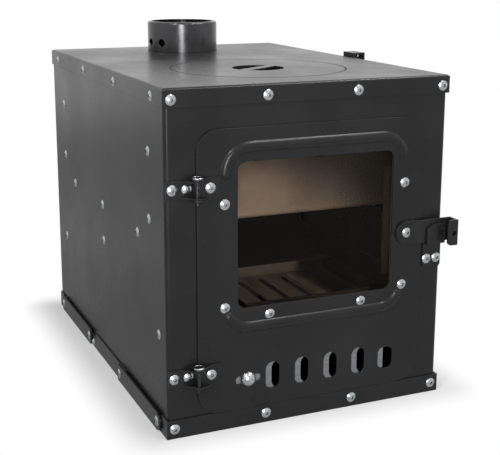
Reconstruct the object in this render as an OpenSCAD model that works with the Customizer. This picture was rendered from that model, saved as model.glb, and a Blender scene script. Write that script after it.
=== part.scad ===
// Sheet-steel wood cookstove with an oven, a glazed fire door, a lift-out hob lid,
// a flue collar and four folding legs. The origin is the middle of the base, on
// the ground. The fire door faces -Y, the oven door faces +X, and +Z is up.

/* [Stove] */
// Width of the cooktop over its flanges
stove_w = 285; // [270:1:320]
// Depth of the cooktop over its flanges
stove_d = 407; // [395:1:450]
// Height of the cooktop above the ground
stove_h = 317; // [310:1:350]

/* [Sheet metal] */
// Thickness of the body, tray, doors and oven
sheet = 1.5; // [1.2:0.1:1.8]
// Thickness of the cooktop and of its lid
top_sheet = 2; // [1.5:0.1:2.5]
// Thickness of the latch levers and the legs
strip_t = 2; // [1.5:0.1:2.2]
// Gap between two sheets that fit into each other
fit = 0.1; // [0.05:0.05:0.2]
// Gap between a moving sheet and the sheet it moves past
slip = 0.2; // [0.1:0.05:0.3]
// Outside radius of the cooktop's bent edges
top_bend_r = 3; // [2.5:0.5:4]
// Outside radius of the body's front corner bends
body_bend_r = 4; // [3:0.5:6]
// Depth of the cooktop's flanges
flange_h = 17; // [15:0.5:19]
// Height of the base tray's skirt
skirt_h = 17.5; // [16:0.5:19]

/* [Rivets] */
// Diameter of a rivet head
rivet_head_d = 9.5; // [8:0.5:10]
// Height of a rivet head
rivet_head_h = 1.6; // [1.2:0.1:2]
// Diameter of a rivet shank
rivet_d = 4.8; // [4:0.2:5]
// Diameter of the mandrel recess in a rivet head
mandrel_d = 3.2; // [2.4:0.1:3.4]
// Distance of the first and last flange rivets from the corner, across the stove
rivet_inset_x = 7.5; // [7:0.5:12]
// Distance of the first and last flange rivets from the corner, along the stove
rivet_inset_y = 32.5; // [26:0.5:40]
// Gaps between flange rivets on each edge
rivet_gaps = 3; // [2:1:4]

/* [Hob] */
// Diameter of the hob lid
lid_d = 172; // [150:1:180]
// Ring gap between the hob lid and the cooktop
lid_gap = 1; // [0.5:0.1:1.5]
// Distance from the front of the cooktop to the lid's middle
lid_from_front = 124.6; // [115:0.1:135]
// Width of the ledge that carries the lid
lid_ledge = 6; // [4:0.5:9]
// Diameter of the lifter cup in the lid
cup_d = 52; // [46:1:60]
// Depth of the lifter cup
cup_depth = 11; // [8:0.5:13]
// Width of the bar across the lifter cup
cup_bar_w = 11; // [8:0.5:14]

/* [Flue] */
// Outside diameter of the flue collar
collar_d = 81; // [70:1:90]
// Height of the flue collar above the cooktop
collar_h = 34; // [28:1:40]
// Wall of the flue collar
collar_wall = 1.2; // [1:0.1:1.5]
// Distance from the back of the cooktop to the flue's middle
flue_from_back = 61; // [58:1:66]
// Diameter of the screw holes in the collar
collar_hole_d = 9; // [6:0.5:10]

/* [Fire door] */
// Left edge of the fire door from the left face
door_left = 30; // [29:0.5:36]
// Right edge of the fire door from the right face
door_right = 26.5; // [26:0.5:30]
// Distance from the cooktop's flange to the top of the fire door
door_top_gap = 20; // [12:0.5:24]
// Radius of the fire door's corners
door_corner_r = 20; // [14:1:26]
// Gap between a closed door and the body
door_gap = 0.3; // [0.2:0.05:0.5]
// Lap of the fire door over its opening, left and right
door_lap = 10; // [8:0.5:12]
// Distance from the fire door's left edge to the window
window_left = 38.6; // [37:0.2:42]
// Distance from the fire door's right edge to the window
window_right = 32; // [31:0.2:36]
// Distance from the fire door's lower edge to the window
window_bottom = 96.7; // [95:0.1:100]
// Distance from the fire door's upper edge to the window
window_top = 30.8; // [29:0.1:36]
// Radius of the window's corners
window_corner_r = 8; // [5:0.5:12]
// Thickness of the window glass
glass_t = 4; // [3:0.5:5]
// Thickness of the fibre tape in front of the glass
tape_t = 2; // [1.5:0.1:2.5]

/* [Bead] */
// Width of the pressed bead round the window
bead_w = 10; // [8:0.5:11]
// Height of the pressed bead
bead_h = 2.4; // [1.8:0.1:2.8]
// Radius of the bead's corners at its middle
bead_corner_r = 23; // [20:1:26]
// Distance from the fire door's left edge to the bead's middle
bead_left = 27.5; // [26:0.5:29]
// Distance from the fire door's right edge to the bead's middle
bead_right = 20.5; // [19:0.5:22]
// Distance from the fire door's lower edge to the bead's middle
bead_bottom = 78.7; // [77:0.1:80]
// Distance from the fire door's upper edge to the bead's middle
bead_top = 17.4; // [15:0.1:19]

/* [Air control] */
// Number of air slots in the fire door
slots = 4; // [3:1:4]
// Distance between air slots
slot_pitch = 30; // [28:1:31]
// Width of an air slot
slot_w = 14; // [12:0.5:15]
// Height of an air slot
slot_h = 26.6; // [22:0.2:28]
// Height of the air slots' middle above the ground
slot_z = 45.8; // [44:0.1:47]
// Middle of the first air slot from the fire door's left edge
slot_first = 73.6; // [72:0.1:76]
// How far the slide stands from fully open
slide_offset = 6.5; // [4:0.5:7]
// Thickness of the slide
slide_t = 1.2; // [1:0.1:1.5]
// Height of the slide
slide_h = 37; // [34:0.5:38]
// Diameter of the slide's knob
knob_d = 14.5; // [13:0.5:16]
// Diameter of the knob's stud
knob_stud_d = 6; // [5:0.5:7]
// Distance from the knob to the first air slot
knob_from_slot = 24.3; // [24:0.1:26]
// Travel slot of the knob
knob_slot_w = 26; // [25:0.5:27]
// Height of the knob's travel slot
knob_slot_h = 8; // [7:0.5:9]

/* [Hinges] */
// Height of a hinge along its pin
hinge_h = 19.5; // [18:0.5:22]
// Distance from a hinge pin to the edge of its door
hinge_side = 1.5; // [1:0.1:2]
// Distance from the body's face to a hinge pin's axis
hinge_out = 8.1; // [7.8:0.1:9]
// Diameter of a hinge pin
pin_d = 4; // [3:0.2:4.4]
// Clearance round a hinge pin, on the radius
pin_clear = 0.05; // [0.03:0.01:0.08]
// Diameter of a hinge pin's head and of the hinge eyes
eye_d = 10; // [9:0.2:10.4]
// Height of a hinge pin's head
pin_head_h = 1.5; // [1:0.1:2]
// Length of a hinge pin below its hinge
pin_tail = 3.5; // [2:0.5:5]
// Length of the hinge leaf on the body
frame_leaf = 25; // [24:0.5:26]
// Length of the hinge leaf on the door
door_leaf = 21; // [18:0.5:24]
// Lower hinge's middle above the fire door's lower edge
hinge_low = 38.8; // [30:0.1:44]
// Upper hinge's middle below the fire door's upper edge
hinge_high = 51; // [46:0.5:56]

/* [Latches] */
// Width of a latch lever
lever_w = 22.6; // [20:0.2:24]
// Distance from a latch's pivot to the middle of its keeper, sideways
keeper_from_pivot = 30.4; // [29:0.1:31]
// Width of the fire door's keeper
keeper_w = 20; // [17:0.5:21]
// Height of a keeper's plate below its ledge
keeper_plate_h = 25; // [22:0.5:28]
// Height of a keeper's upstand above its ledge
keeper_upstand_h = 18; // [14:0.5:20]
// Distance from a latch's pivot to the end of its lever
lever_reach = 48.1; // [47:0.1:52]
// Depth of the lever's hook in front of the body's face
hook_out = 18.6; // [17:0.1:22]
// Length of the hook's returned end
hook_return = 11; // [9:0.5:12]
// Height of the hook's returned end
hook_h = 25; // [22:0.5:26]
// Latch pivot from the fire door's right edge
latch_inset = 16.6; // [15.5:0.1:18]
// Latch pivot's height as a share of the fire door's height
latch_share = 0.575; // [0.55:0.005:0.6]

/* [Oven] */
// Front edge of the oven door from the cooktop's front
oven_door_front = 46; // [43:0.5:50]
// Rear edge of the oven door from the cooktop's back
oven_door_back = 49; // [45:0.5:56]
// Height of the oven door's lower edge above the ground
oven_door_z = 184; // [180:0.5:188]
// Distance from the cooktop's flange to the oven door's upper edge
oven_door_gap = 14; // [12:0.5:16]
// Radius of the oven door's corners
oven_door_r = 12; // [6:1:16]
// Lap of the oven door over its opening
oven_lap = 9; // [8:0.5:10]
// Front wall of the oven from the cooktop's front
oven_front = 40; // [38:0.5:42]
// Rear wall of the oven from the cooktop's back
oven_back = 41; // [38:0.5:42]
// Underside of the oven above the ground
oven_z = 187; // [184:0.5:190]
// Gap between the oven's top and the cooktop, for the smoke
smoke_gap = 46; // [40:1:50]
// Width of the oven's flanges
oven_flange = 14; // [12:0.5:16]
// Depth of the flange below the oven
oven_skirt = 20; // [19:0.5:22]
// Oven hinges from the oven door's front and rear edges
oven_hinge_inset = 45; // [30:1:70]

/* [Firebox] */
// Height of the firebox floor above the ground
floor_z = 78; // [74:0.5:79]
// Height of the floor pan's side flanges
pan_flange = 27; // [25:0.5:30]
// Radius of the curved fire back
back_r = 90; // [80:1:92]
// Distance from the grate tray to the start of the fire back's curve
back_behind_grate = 42; // [30:1:50]
// Width of the grate tray
grate_w = 215; // [205:1:230]
// Depth of the grate tray
grate_d = 172; // [160:1:176]
// Front edge of the grate tray from the front of the cooktop
grate_from_front = 14; // [13:0.5:20]
// Distance between grate slots
grate_pitch = 25.3; // [24:0.1:26]
// Number of grate slots
grate_slots = 5; // [3:1:6]
// Width of a grate slot
grate_slot_w = 12; // [9:0.5:14]
// Length of a grate slot
grate_slot_l = 128; // [100:1:140]
// Height of the grate's rear lip
grate_lip = 12.5; // [8:0.5:16]

/* [Legs] */
// Length of a leg between its pivot and its end rivet
leg_l = 120; // [110:1:124]
// Width of a leg
leg_w = 17; // [15:0.5:17]
// Distance from the corner to a leg's pivot
leg_inset = 24; // [22:0.5:28]
// Length of a leg beyond its end rivet
leg_tip = 6; // [5.5:0.5:7]
// Diameter of the stop stud
stop_d = 8; // [6:0.5:8]

/* [Hidden] */
$fn = 72;

// One overrun for every cut, and the finish of the two coats
over = 1;
black = "#39393a";
zinc = "#c9ccce";
brown = "#6d6055";

// Body: its faces lie one sheet and one fit inside the flanges and the skirt
skin = sheet + fit;
face_y = -stove_d / 2 + skin;
back_y = stove_d / 2 - skin;
face_x = stove_w / 2 - skin;
cook_z = stove_h - top_sheet;
body_top = cook_z - (top_bend_r - sheet) - fit;
flange_z = stove_h - flange_h;
inner_x = face_x - sheet - fit;
inner_front = face_y + sheet + fit;
inner_back = back_y - 2 * sheet - 2 * fit;

// Rivets: the head's dome and the bore that passes a shank
dome_r = (pow(rivet_head_d / 2, 2) + pow(rivet_head_h, 2)) / (2 * rivet_head_h);
rivet_hole_d = rivet_d + 2 * pin_clear;
mandrel_depth = 1.3;
two_sheets = 2 * sheet;
flange_grip = 2 * sheet + fit;
flange_rivet_up = 7;
flange_rivet_z = flange_z + flange_rivet_up;
skirt_rivet_z = 9;
along_x = [for (i = [0 : rivet_gaps])
    -stove_w / 2 + rivet_inset_x + i * (stove_w - 2 * rivet_inset_x) / rivet_gaps];
along_y = [for (i = [0 : rivet_gaps])
    -stove_d / 2 + rivet_inset_y + i * (stove_d - 2 * rivet_inset_y) / rivet_gaps];

// Places on the stove, from its left side and from its front
function from_left(d) = d - stove_w / 2;
function from_right(d) = stove_w / 2 - d;
function from_front(d) = d - stove_d / 2;
function from_back(d) = stove_d / 2 - d;

// Flat shapes
module rounded(x0, y0, x1, y1, r) {
    translate([x0 + r, y0]) square([x1 - x0 - 2 * r, y1 - y0]);
    translate([x0, y0 + r]) square([x1 - x0, y1 - y0 - 2 * r]);
    for (x = [x0 + r, x1 - r], y = [y0 + r, y1 - r]) translate([x, y]) circle(r);
}

module obround(x, y, w, h) {
    r = min(w, h) / 2;
    reach = max(w, h) / 2 - r;
    across = w > h;
    bar = across ? [reach, r] : [r, reach];
    translate([x, y]) {
        translate(-bar) square(2 * bar);
        for (end = [-1, 1]) translate(end * (across ? [reach, 0] : [0, reach])) circle(r);
    }
}

// A flat shape drawn across and up, made t thick from y0 to the front
module front_sheet(y0, t) {
    translate([0, y0, 0]) rotate([90, 0, 0]) linear_extrude(t) children();
}

// A flat shape drawn back and up, made t thick from x0 to the right
module side_sheet(x0, t) {
    translate([x0, 0, 0]) rotate([90, 0, 90]) linear_extrude(t) children();
}

// Places for fittings: x runs along the sheet, -y stands out from the body's face
module on_front(x, z) {
    translate([x, face_y, z]) children();
}

module on_oven_side(y, z) {
    translate([face_x, y, z]) rotate([0, -90, 90]) children();
}

// Bores that go through any sheet near a face
bore_depth = 12;

module front_bore(x, z, d) {
    translate([x, face_y, z]) rotate([90, 0, 0]) cylinder(h = bore_depth, d = d, center = true);
}

module back_bore(x, z, d) {
    translate([x, back_y, z]) rotate([90, 0, 0]) cylinder(h = bore_depth, d = d, center = true);
}

module side_bore(side, y, z, d) {
    translate([side * face_x, y, z]) rotate([0, 90, 0])
        cylinder(h = bore_depth, d = d, center = true);
}

// A blind rivet: its head stands on z = 0 and its shank goes down through the grip
module rivet(grip) {
    difference() {
        union() {
            intersection() {
                translate([0, 0, rivet_head_h - dome_r]) sphere(dome_r);
                cylinder(h = rivet_head_h, d = rivet_head_d);
            }
            translate([0, 0, -grip]) cylinder(h = grip, d = rivet_d);
        }
        translate([0, 0, rivet_head_h - mandrel_depth]) cylinder(h = mandrel_depth + over, d = mandrel_d);
    }
}

// Rivets that face out of the front, the back and the sides
module front_rivet(x, z, out, grip) {
    translate([x, face_y - out, z]) rotate([90, 0, 0]) rivet(grip);
}

module back_rivet(x, z, out, grip) {
    translate([x, back_y + out, z]) rotate([-90, 0, 0]) rivet(grip);
}

module side_rivet(side, y, z, out, grip) {
    translate([side * (face_x + out), y, z]) rotate([0, side * 90, 0]) rivet(grip);
}

// Where the fixings of the oven and the firebox come through the sides
oven_rear = stove_d / 2 - oven_back;
oven_fore = from_front(oven_front);
oven_top = cook_z - smoke_gap;
fore_fixing_low = 7;
fore_fixing_high = 13;
rear_fixing_low = 12;
rear_fixing_high = 11;
row_fixing_up = 6;
row_shares = [0.13, 0.5, 0.85];
oven_fixings = [
    for (z = [oven_z + fore_fixing_low, oven_top - fore_fixing_high]) [oven_fore + oven_flange / 2, z],
    for (z = [oven_z + rear_fixing_low, oven_top - rear_fixing_high]) [oven_rear - oven_flange / 2, z],
    for (share = row_shares)
        [oven_fore + share * (oven_rear - oven_fore), oven_z - oven_skirt + row_fixing_up]];

liner_middle = 202;
liner_y = from_front(liner_middle);
liner_z = 134.8;
pan_fixing_front = 24;
pan_fixing_front_up = 14;
pan_fixing_back = 40;
pan_fixing_back_up = 21;
fire_fixings = [
    [from_front(pan_fixing_front), floor_z + pan_fixing_front_up],
    [liner_y, liner_z],
    [from_back(pan_fixing_back), floor_z + pan_fixing_back_up]];

// Legs: their pivots, end rivets and stops, for each side and end
leg_z = skirt_rivet_z;
leg_ends = [-1, 1];
function leg_pivot_y(end) = end * (stove_d / 2 - leg_inset);
function leg_end_y(end) = end * (stove_d / 2 - leg_inset - leg_l);
stop_gap = 1;
stop_lift = 0.5;
stop_y = leg_end_y(1) - leg_tip - stop_d / 2 - stop_gap;
stop_z = stop_d / 2 + stop_lift;

// Base tray with its skirt cut down where the legs fold against it
tray_tab = 16;
tray_cut_z = 13;
tray_mid_front = 129;
tray_mid_rear = 242;
tray_mid = [from_front(tray_mid_front), from_front(tray_mid_rear)];

module base_tray() {
    color(black) difference() {
        translate([-stove_w / 2, -stove_d / 2, 0]) cube([stove_w, stove_d, skirt_h]);
        translate([sheet - stove_w / 2, sheet - stove_d / 2, sheet])
            cube([stove_w - 2 * sheet, stove_d - 2 * sheet, skirt_h]);
        for (zone = [[from_front(tray_tab), tray_mid[0]], [tray_mid[1], from_back(tray_tab)]])
            translate([-stove_w, zone[0], tray_cut_z]) cube([2 * stove_w, zone[1] - zone[0], skirt_h]);
        for (x = along_x) {
            front_bore(x, skirt_rivet_z, rivet_hole_d);
            back_bore(x, skirt_rivet_z, rivet_hole_d);
        }
        leg_bores();
    }
}

module leg_bores() {
    for (side = [-1, 1]) {
        for (end = leg_ends) side_bore(side, leg_pivot_y(end), leg_z, rivet_hole_d);
        side_bore(side, stop_y, stop_z, rivet_hole_d);
    }
}

// Fire door, its opening and its window, across and up
door_x0 = from_left(door_left);
door_x1 = from_right(door_right);
door_z0 = skirt_h + door_gap;
door_z1 = flange_z - door_top_gap;
door_y = face_y - door_gap;
window_x0 = door_x0 + window_left;
window_x1 = door_x1 - window_right;
window_z0 = door_z0 + window_bottom;
window_z1 = door_z1 - window_top;
opening_below_slide = 4.5;
opening_r = 12;
opening_z0 = slot_z - slide_h / 2 - opening_below_slide;
opening_z1 = door_z1 - door_lap;

// Oven door and its opening, along and up
oven_door_y0 = from_front(oven_door_front);
oven_door_y1 = from_back(oven_door_back);
oven_door_z1 = flange_z - oven_door_gap;
oven_sill = 5;
oven_head = 7;
oven_hole_r = 5;
oven_hole_z0 = oven_z + sheet + oven_sill;
oven_hole_z1 = oven_top - sheet - oven_head;

// Hinge pins and latch pivots
pin_x = door_x0 - hinge_side;
hinge_zs = [door_z0 + hinge_low, door_z1 - hinge_high];
oven_pin_z = oven_door_z - hinge_side;
oven_hinge_ys = [oven_door_y0 + oven_hinge_inset, oven_door_y1 - oven_hinge_inset];
latch_x = door_x1 - latch_inset;
latch_z = door_z0 + latch_share * (door_z1 - door_z0);
oven_latch_y = 0;
oven_latch_drop = 27;
oven_latch_z = flange_z - oven_latch_drop;

// Front and sides folded from one sheet, with flanges turned in at the back
back_flange = 15;

module body_shell() {
    color(black) difference() {
        translate([0, 0, sheet]) linear_extrude(body_top - sheet) wrap_plan();
        front_sheet(face_y + bore_depth, 2 * bore_depth)
            rounded(door_x0 + door_lap, opening_z0, door_x1 - door_lap, opening_z1, opening_r);
        side_sheet(face_x - bore_depth, 2 * bore_depth)
            rounded(oven_door_y0 + oven_lap, oven_hole_z0, oven_door_y1 - oven_lap, oven_hole_z1,
                    oven_hole_r);
        for (x = along_x, z = [flange_rivet_z, skirt_rivet_z]) {
            front_bore(x, z, rivet_hole_d);
            back_bore(x, z, rivet_hole_d);
        }
        for (side = [-1, 1]) {
            for (y = along_y) side_bore(side, y, flange_rivet_z, rivet_hole_d);
            for (p = fire_fixings) side_bore(side, p[0], p[1], rivet_hole_d);
        }
        for (p = oven_fixings) side_bore(-1, p[0], p[1], rivet_hole_d);
        leg_bores();
        for (z = hinge_zs) on_front(pin_x, z) body_leaf_bores();
        for (y = oven_hinge_ys) on_oven_side(y, oven_pin_z) body_leaf_bores();
        on_front(latch_x, latch_z) keeper_bores(keeper_from_pivot, front_keeper_rivets);
        on_oven_side(oven_latch_y, oven_latch_z) keeper_bores(oven_keeper_x, oven_keeper_rivets);
    }
}

module wrap_plan() {
    r = body_bend_r;
    difference() {
        union() {
            translate([-face_x, face_y + r]) square([2 * face_x, back_y - skin - face_y - r]);
            translate([r - face_x, face_y]) square([2 * (face_x - r), 2 * r]);
            for (side = [-1, 1]) translate([side * (face_x - r), face_y + r]) circle(r);
        }
        union() {
            translate([sheet - face_x, face_y + r])
                square([2 * (face_x - sheet), back_y - skin - sheet - face_y - r]);
            translate([r - face_x, face_y + sheet]) square([2 * (face_x - r), 2 * r]);
            for (side = [-1, 1]) translate([side * (face_x - r), face_y + r]) circle(r - sheet);
        }
        translate([back_flange - face_x, 0]) square([2 * (face_x - back_flange), back_y]);
    }
}

module back_panel() {
    color(black) difference() {
        translate([-face_x, back_y - sheet, sheet]) cube([2 * face_x, sheet, body_top - sheet]);
        for (x = along_x, z = [flange_rivet_z, skirt_rivet_z]) back_bore(x, z, rivet_hole_d);
    }
}

// Cooktop with its flanges turned down, slit at the corners
hob_y = from_front(lid_from_front);
hob_hole_r = lid_d / 2 + lid_gap;
flue_y = from_back(flue_from_back);
corner_slit = 0.6;

module arch(w, h, r) {
    translate([-w / 2, -flange_h]) square([w, h + flange_h - r]);
    translate([r - w / 2, 0]) square([w - 2 * r, h]);
    for (x = [r - w / 2, w / 2 - r]) translate([x, h - r]) circle(r);
}

module folded(w, d, h, r) {
    intersection() {
        rotate([90, 0, 0]) linear_extrude(2 * d, center = true) arch(w, h, r);
        rotate([90, 0, 90]) linear_extrude(2 * w, center = true) arch(d, h, r);
        translate([-w, -d, 0]) cube([2 * w, 2 * d, h + over]);
    }
}

module cooktop() {
    color(black) difference() {
        translate([0, 0, flange_z]) difference() {
            folded(stove_w, stove_d, flange_h, top_bend_r);
            translate([0, 0, -over]) folded(stove_w - 2 * sheet, stove_d - 2 * sheet,
                flange_h - top_sheet + over, top_bend_r - sheet);
        }
        for (x = [-1, 1], y = [-1, 1]) translate([x * stove_w / 2, y * stove_d / 2, flange_z - over])
            translate([x < 0 ? -over : -corner_slit, y < 0 ? -over : -corner_slit, 0])
                cube([corner_slit + over, corner_slit + over, flange_h - top_bend_r + over]);
        translate([0, hob_y, cook_z - over]) cylinder(h = top_sheet + 2 * over, r = hob_hole_r, $fn = 120);
        translate([0, flue_y, cook_z - over])
            cylinder(h = top_sheet + 2 * over, d = collar_d + 2 * fit, $fn = 96);
        for (x = along_x) {
            front_bore(x, flange_rivet_z, rivet_hole_d);
            back_bore(x, flange_rivet_z, rivet_hole_d);
        }
        for (side = [-1, 1], y = along_y) side_bore(side, y, flange_rivet_z, rivet_hole_d);
        on_oven_side(oven_latch_y, oven_latch_z) keeper_bores(oven_keeper_x, oven_keeper_rivets);
    }
}

// Ring under the cooktop that carries the lid
module lid_seat() {
    color(black) translate([0, hob_y, cook_z - sheet]) difference() {
        cylinder(h = sheet, r = hob_hole_r + lid_ledge, $fn = 96);
        translate([0, 0, -over]) cylinder(h = sheet + 2 * over, r = lid_d / 2 - lid_ledge, $fn = 96);
    }
}

// Hob lid with a pressed lifter cup and a bar across it
cup_wall = 1.2;
cup_slope = 7;
cup_floor_r = cup_d / 2 - cup_slope;

module hob_lid() {
    color(black) translate([0, hob_y, cook_z]) rotate_extrude($fn = 120) polygon([
        [0, -cup_depth], [cup_floor_r, -cup_depth], [cup_d / 2, -top_sheet / 2],
        [cup_d / 2, top_sheet], [lid_d / 2, top_sheet], [lid_d / 2, 0], [cup_d / 2 + cup_wall, 0],
        [cup_d / 2 + cup_wall, -top_sheet / 2], [cup_floor_r + cup_wall / 2, -cup_depth - cup_wall],
        [0, -cup_depth - cup_wall]]);
}

bar_angle = 35;

module lid_bar() {
    color(black) translate([0, hob_y, cook_z]) intersection() {
        cylinder(h = top_sheet, d = cup_d - 2 * fit, $fn = 96);
        rotate(bar_angle) translate([-cup_d, -cup_bar_w / 2, 0]) cube([2 * cup_d, cup_bar_w, top_sheet]);
    }
}

// Flue collar with a rolled rim, necked through the cooktop and flanged under it
collar_neck = 0.7;
collar_seat = 0.5;
collar_flange = 9;
collar_curl = 2.5;
collar_hole_up = 10.5;
collar_hole_angles = [56, 84];

module flue_collar() {
    r = collar_d / 2;
    h = top_sheet + collar_h;
    color(black) difference() {
        translate([0, flue_y, cook_z]) rotate_extrude($fn = 96) {
            translate([r - collar_wall, top_sheet + collar_seat])
                square([collar_wall, collar_h - collar_seat - collar_curl]);
            translate([r - collar_wall - collar_neck, -sheet])
                square([collar_wall, sheet + top_sheet + collar_seat + collar_wall]);
            translate([r - collar_wall - collar_neck, -sheet])
                square([collar_flange + collar_wall, sheet]);
            intersection() {
                difference() {
                    translate([r - collar_curl, h - collar_curl]) circle(collar_curl);
                    translate([r - collar_curl, h - collar_curl]) circle(collar_curl - collar_wall);
                }
                translate([r - collar_curl, h - collar_curl]) square(collar_curl);
            }
            translate([r - 2 * collar_curl, h - collar_wall]) square([collar_curl, collar_wall]);
        }
        for (a = collar_hole_angles) translate([0, flue_y, stove_h + collar_hole_up])
            rotate([90, 0, -a]) cylinder(h = collar_d, d = collar_hole_d);
    }
}

// Oven: a folded case open to the right, flanged on to the left side
case_r = 4;

module case_plan(inset) {
    rounded(oven_fore + inset, oven_z + inset, oven_rear - inset, oven_top - inset, case_r - inset);
}

module oven_box() {
    left = -inner_x;
    color(brown) difference() {
        union() {
            side_sheet(left, 2 * inner_x) difference() {
                case_plan(0);
                case_plan(sheet);
            }
            side_sheet(left, sheet) difference() {
                union() {
                    case_plan(0);
                    translate([oven_fore, oven_z - oven_skirt])
                        square([oven_rear - oven_fore, oven_skirt + sheet]);
                }
                translate([oven_fore + oven_flange, oven_z + sheet])
                    square([oven_rear - oven_fore - 2 * oven_flange, oven_top - oven_z - 2 * sheet]);
            }
            side_sheet(inner_x - sheet, sheet) difference() {
                case_plan(0);
                rounded(oven_door_y0 + oven_lap, oven_hole_z0, oven_door_y1 - oven_lap, oven_hole_z1,
                    oven_hole_r);
            }
        }
        for (p = oven_fixings) side_bore(-1, p[0], p[1], rivet_hole_d);
    }
}

// Firebox floor with turned-up sides and an opening under the grate
floor_top = floor_z + sheet;
grate_y0 = from_front(grate_from_front);
pan_ledge = 26;
pan_rear_ledge = 6;
pan_hole_r = 6;

module floor_pan() {
    color(brown) difference() {
        union() {
            translate([0, 0, floor_z]) linear_extrude(sheet)
                rounded(-inner_x, inner_front, inner_x, inner_back, body_bend_r);
            for (side = [-1, 1])
                translate([side * (inner_x - sheet / 2) - sheet / 2, inner_front + body_bend_r, floor_z])
                    cube([sheet, inner_back - inner_front - 2 * body_bend_r, pan_flange]);
        }
        translate([0, 0, floor_z - over]) linear_extrude(sheet + 2 * over)
            rounded(pan_ledge - grate_w / 2, grate_y0 + pan_ledge,
                grate_w / 2 - pan_ledge, grate_y0 + grate_d - pan_rear_ledge, pan_hole_r);
        for (side = [-1, 1], p = fire_fixings) side_bore(side, p[0], p[1], rivet_hole_d);
    }
}

// Fire back: a foot, a quarter curve and a flange under the oven
back_foot = 14;
back_side_gap = 2;

module fire_back() {
    y = from_front(grate_from_front + grate_d + back_behind_grate);
    w = 2 * (inner_x - sheet - liner_t - back_side_gap);
    color(brown) side_sheet(-w / 2, w) {
        translate([y - back_foot, floor_top]) square([back_foot, sheet]);
        difference() {
            intersection() {
                translate([y, floor_top + back_r]) circle(back_r, $fn = 144);
                translate([y, floor_top]) square(back_r);
            }
            translate([y, floor_top + back_r]) circle(back_r - sheet, $fn = 144);
        }
        translate([y + back_r - sheet, floor_top + back_r])
            square([sheet, oven_z - floor_top - back_r]);
        translate([y + back_r - sheet, oven_z - sheet]) square([back_foot, sheet]);
    }
}

// Heat shields on the two side walls, each held by one rivet
liner_t = 1.2;
liner_l = 184;
liner_top_gap = 4;
liner_foot_gap = 1;
liner_r = 6;

module side_liners() {
    z0 = floor_z + pan_flange + liner_foot_gap;
    z1 = oven_z - oven_skirt - liner_top_gap;
    color(brown) difference() {
        for (side = [-1, 1]) side_sheet(side * (inner_x - liner_t / 2) - liner_t / 2, liner_t)
            rounded(liner_y - liner_l / 2, z0, liner_y + liner_l / 2, z1, liner_r);
        for (side = [-1, 1]) side_bore(side, liner_y, liner_z, rivet_hole_d);
    }
}

// Grate: a tray with rounded ribs between its slots and a lip at the back
rib_r = 6;
rib_sink = 1;
slot_back_gap = 9;

module grate() {
    y1 = grate_y0 + grate_d;
    rib_y1 = y1 - slot_back_gap;
    rib_l = grate_slot_l - 2 * rib_r;
    color(brown) translate([0, 0, floor_top]) {
        difference() {
            translate([-grate_w / 2, grate_y0, 0]) cube([grate_w, grate_d, sheet]);
            translate([0, 0, -over]) linear_extrude(sheet + 2 * over) for (i = [0 : grate_slots - 1])
                obround((i - (grate_slots - 1) / 2) * grate_pitch, rib_y1 - grate_slot_l / 2,
                    grate_slot_w, grate_slot_l);
        }
        translate([-grate_w / 2, y1 - sheet, 0]) cube([grate_w, sheet, grate_lip]);
        for (i = [0 : grate_slots]) translate([(i - grate_slots / 2) * grate_pitch, rib_y1 - rib_r, 0])
            grate_rib(rib_l);
    }
}

// A half-round rib with rounded ends, standing on the tray
module grate_rib(l) {
    intersection() {
        translate([0, 0, sheet - rib_sink]) union() {
            rotate([90, 0, 0]) cylinder(h = l, r = rib_r);
            for (y = [0, -l]) translate([0, y, 0]) sphere(rib_r);
        }
        translate([-2 * rib_r, -l - 2 * rib_r, sheet / 2]) cube([4 * rib_r, l + 4 * rib_r, 2 * rib_r]);
    }
}

// Keepers: a plate on the body, a ledge the lever rests on and an upstand in front of it
keeper_gap = 0.9;
lever_step = 2.2;
lever_rest_y = door_gap + sheet + slip + lever_step;
upstand_y = lever_rest_y + strip_t + keeper_gap;
ledge_z = -lever_w / 2 - slip;
upstand_hole_d = 5.5;
front_keeper_reach = 5.45;
front_keeper_drop = 17.6;
front_keeper_rivets = [for (end = [-1, 1]) [end * front_keeper_reach, ledge_z - front_keeper_drop]];
oven_keeper_drops = [8, 20];
oven_keeper_rivets = [for (drop = oven_keeper_drops) [0, ledge_z - drop]];
oven_keeper_w = 15;
oven_keeper_shift = 5.1;
oven_keeper_x = keeper_from_pivot + oven_keeper_shift;
keeper_corner_r = 3;
keeper_chamfer = [6, 4];
lock_hole_inset = 4;
lock_hole_z = -2;
hook_hole_d = 4.8;

module keeper(base, x_mid, w, rivets) {
    x0 = x_mid - w / 2;
    x1 = x_mid + w / 2;
    z_top = ledge_z + keeper_upstand_h;
    difference() {
        union() {
            front_sheet(-base, sheet) {
                rounded(x0, ledge_z - sheet - keeper_plate_h, x1, ledge_z, keeper_corner_r);
                translate([x0, ledge_z - keeper_plate_h / 2]) square([w, keeper_plate_h / 2]);
            }
            translate([x0, -upstand_y - sheet, ledge_z - sheet]) cube([w, upstand_y + sheet - base, sheet]);
            front_sheet(-upstand_y, sheet) polygon([
                [x0, ledge_z - sheet], [x1, ledge_z - sheet], [x1, z_top],
                [x0 + keeper_chamfer[0], z_top], [x0, z_top - keeper_chamfer[1]]]);
        }
        translate([x1 - lock_hole_inset, -upstand_y, lock_hole_z]) rotate([90, 0, 0])
            cylinder(h = bore_depth, d = upstand_hole_d, center = true);
        keeper_bores(x_mid, rivets);
    }
}

module keeper_bores(x_mid, rivets) {
    for (p = rivets) translate([x_mid + p[0], 0, p[1]]) rotate([90, 0, 0])
        cylinder(h = bore_depth, d = rivet_hole_d, center = true);
}

module front_keeper() {
    color(black) on_front(latch_x, latch_z) keeper(0, keeper_from_pivot, keeper_w, front_keeper_rivets);
}

module oven_keeper() {
    color(black) on_oven_side(oven_latch_y, oven_latch_z)
        keeper(skin, oven_keeper_x, oven_keeper_w, oven_keeper_rivets);
}

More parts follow.
